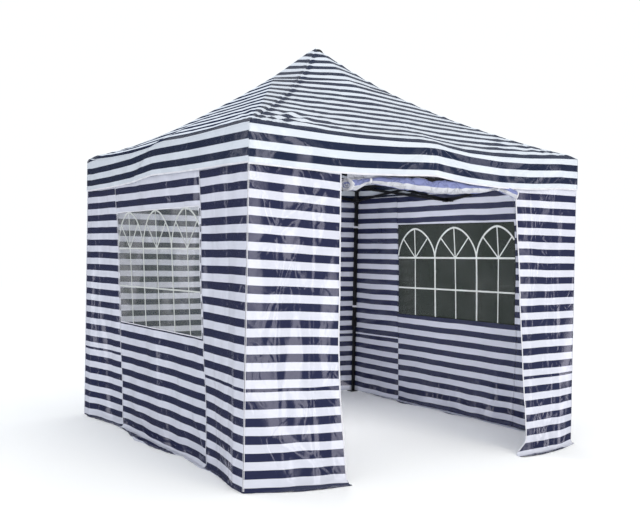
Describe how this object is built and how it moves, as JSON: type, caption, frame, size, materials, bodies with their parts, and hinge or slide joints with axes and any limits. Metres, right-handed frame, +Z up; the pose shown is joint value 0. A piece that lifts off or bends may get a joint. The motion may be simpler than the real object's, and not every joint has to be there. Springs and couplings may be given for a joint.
{
  "type": "pop-up gazebo",
  "caption": "Square striped pop-up gazebo with a peaked canopy, a valance, cloth side walls with arched windows, a rolled-up door and a folding steel frame on telescopic legs.",
  "frame": {"origin": "on the ground under the peak of the canopy, at the centre of the square", "axes": "+Z up, the doorway faces -Y, the window walls face -X and +X"},
  "size_m": [3.0046, 3.1946, 3.24],
  "materials": {
    "roof_cloth": "coated polyester, navy and white stripes, soft sheen",
    "wall_cloth": "coated polyester, navy and white stripes, soft sheen with packing folds",
    "window_film": "clear flexible film with printed white bars",
    "frame_steel": "black powder coat",
    "inner_leg_steel": "black powder coat",
    "frame_plastic": "black moulded plastic"
  },
  "bodies": {
    "gazebo": {"back_inner_truss": "frame_steel", "back_truss": "frame_steel", "back_wall_left_panel": "wall_cloth", "back_wall_middle_panel": "wall_cloth", "back_wall_right_panel": "wall_cloth", "canopy": "roof_cloth", "centre_pole": "frame_steel", "corner_bracket_back_left": "frame_plastic", "corner_bracket_back_right": "frame_plastic", "corner_bracket_front_left": "frame_plastic", "corner_bracket_front_right": "frame_plastic", "front_inner_truss": "frame_steel", "front_truss": "frame_steel", "front_wall_left_panel": "wall_cloth", "front_wall_right_panel": "wall_cloth", "left_inner_truss": "frame_steel", "left_truss": "frame_steel", "left_wall_back_panel": "wall_cloth", "left_wall_front_panel": "wall_cloth", "left_window": "window_film", "left_window_panel": "wall_cloth", "lower_hub": "frame_plastic", "outer_leg_back_left": "frame_steel", "outer_leg_back_right": "frame_steel", "outer_leg_front_left": "frame_steel", "outer_leg_front_right": "frame_steel", "pole_cap": "frame_plastic", "right_inner_truss": "frame_steel", "right_truss": "frame_steel", "right_wall_back_panel": "wall_cloth", "right_wall_front_panel": "wall_cloth", "right_window": "window_film", "right_window_panel": "wall_cloth", "rolled_door": "wall_cloth", "slider_back_left": "frame_plastic", "slider_back_right": "frame_plastic", "slider_front_left": "frame_plastic", "slider_front_right": "frame_plastic", "upper_hub": "frame_plastic"},
    "leg_front_left": {"inner_leg_front_left": "inner_leg_steel"},
    "leg_front_right": {"inner_leg_front_right": "inner_leg_steel"},
    "leg_back_right": {"inner_leg_back_right": "inner_leg_steel"},
    "leg_back_left": {"inner_leg_back_left": "inner_leg_steel"}
  },
  "joints": [
    {"name": "leg_slide_front_left", "type": "slide", "parent": "gazebo", "child": "leg_front_left", "axis": [0, 0, 1], "range_m": [0, 0.6]},
    {"name": "leg_slide_front_right", "type": "slide", "parent": "gazebo", "child": "leg_front_right", "axis": [0, 0, 1], "range_m": [0, 0.6]},
    {"name": "leg_slide_back_right", "type": "slide", "parent": "gazebo", "child": "leg_back_right", "axis": [0, 0, 1], "range_m": [0, 0.6]},
    {"name": "leg_slide_back_left", "type": "slide", "parent": "gazebo", "child": "leg_back_left", "axis": [0, 0, 1], "range_m": [0, 0.6]}
  ]
}
